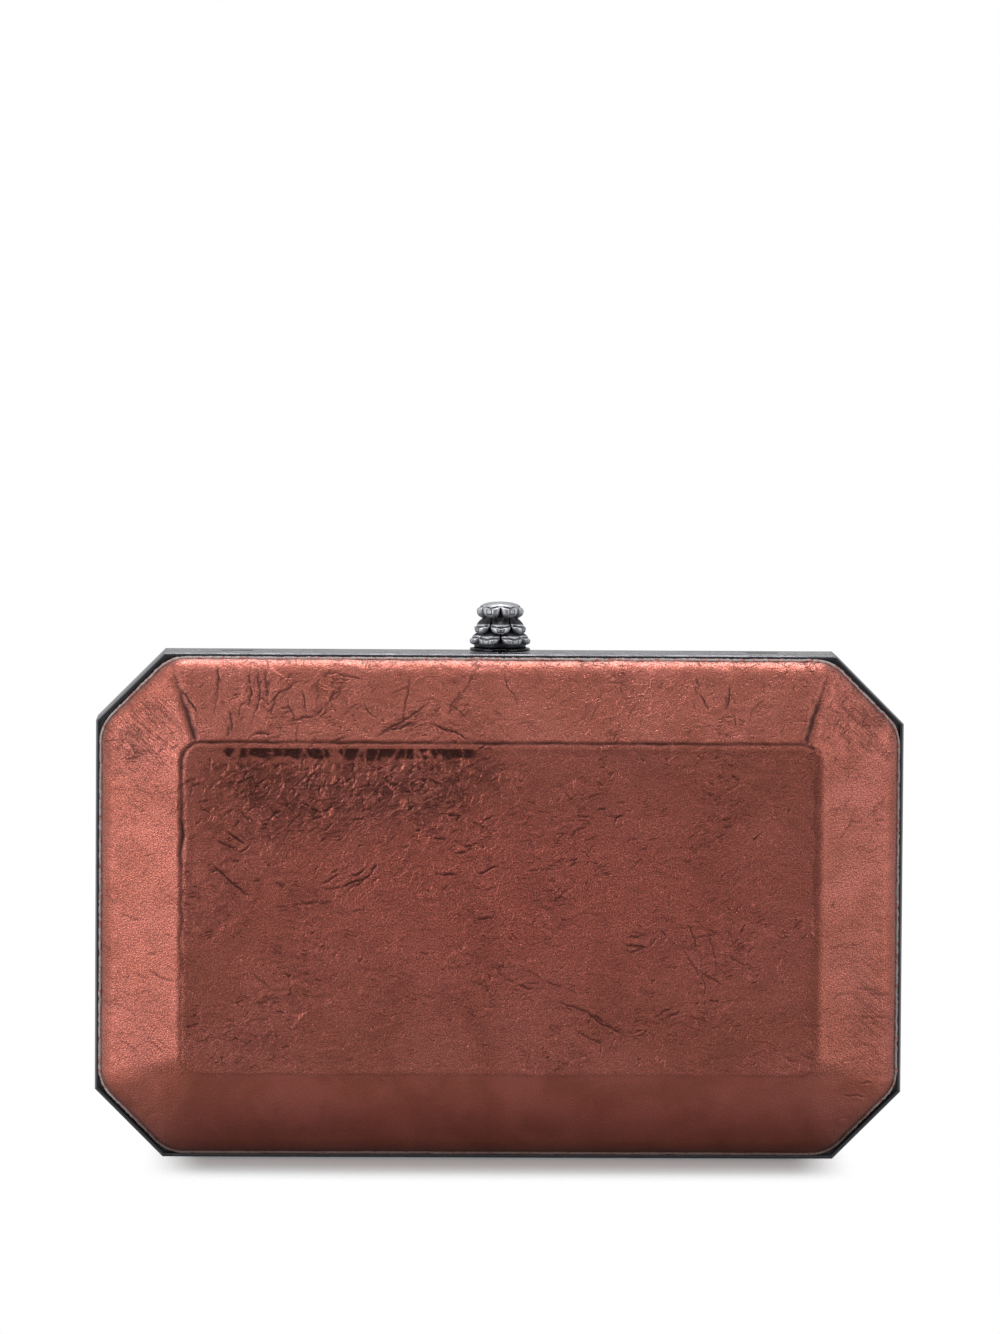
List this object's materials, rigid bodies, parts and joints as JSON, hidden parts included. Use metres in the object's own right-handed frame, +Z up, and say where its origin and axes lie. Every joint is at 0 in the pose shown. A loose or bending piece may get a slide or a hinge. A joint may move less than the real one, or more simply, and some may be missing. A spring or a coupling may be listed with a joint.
{
  "type": "box clutch",
  "caption": "Rigid octagonal box clutch: leather-covered halves in metal rails hinged along the bottom, closed by a press-down scaled knob.",
  "frame": {"origin": "on the floor, under the middle of the closed clutch", "axes": "+X along the width, -Y out of the front, +Z up to the knob"},
  "size_m": [0.19, 0.037, 0.1305],
  "materials": {
    "gunmetal": "polished dark gunmetal plating",
    "black_metal": "polished black plating",
    "knob_metal": "antique silver plating",
    "steel": "plain steel",
    "spring_steel": "spring steel",
    "copper_leather": "crinkled metallic copper leather",
    "board": "moulded board",
    "lining_cloth": "dark lining cloth"
  },
  "bodies": {
    "rear_half": {"rear_frame": "gunmetal", "rear_shell": "board", "rear_leather": "copper_leather", "rear_lining": "lining_cloth", "rear_hinge_leaf": "steel", "rear_hinge_rivet_left": "steel", "rear_hinge_rivet_middle": "steel", "rear_hinge_rivet_right": "steel", "hinge_pin": "steel", "clasp_bracket": "steel", "bracket_rivet_left": "steel", "bracket_rivet_right": "steel", "guide_bushing": "steel", "bushing_nut": "steel", "clasp_collar": "black_metal", "chain_eye_left": "gunmetal", "chain_eye_right": "gunmetal", "return_spring": "spring_steel"},
    "front_half": {"front_frame": "gunmetal", "front_shell": "board", "front_leather": "copper_leather", "front_lining": "lining_cloth", "front_hinge_leaf": "steel", "front_hinge_rivet_left": "steel", "front_hinge_rivet_middle": "steel", "front_hinge_rivet_right": "steel", "striker_left": "steel", "striker_right": "steel", "striker_rivet_left": "steel", "striker_rivet_right": "steel"},
    "knob": {"knob_cone": "knob_metal", "knob_stem": "steel", "latch_bar": "steel", "stem_clip": "spring_steel"}
  },
  "joints": [
    {"name": "front_hinge", "type": "hinge", "parent": "rear_half", "child": "front_half", "pos_m": [0, 0, 0.0016], "axis": [1, 0, 0], "range_deg": [0, 90]},
    {"name": "knob_press", "type": "slide", "parent": "rear_half", "child": "knob", "axis": [0, 0, -1], "range_m": [0, 0.0006], "stiffness_N_per_m": 2000, "springref_m": -0.0005, "deforming": ["return_spring"]}
  ]
}
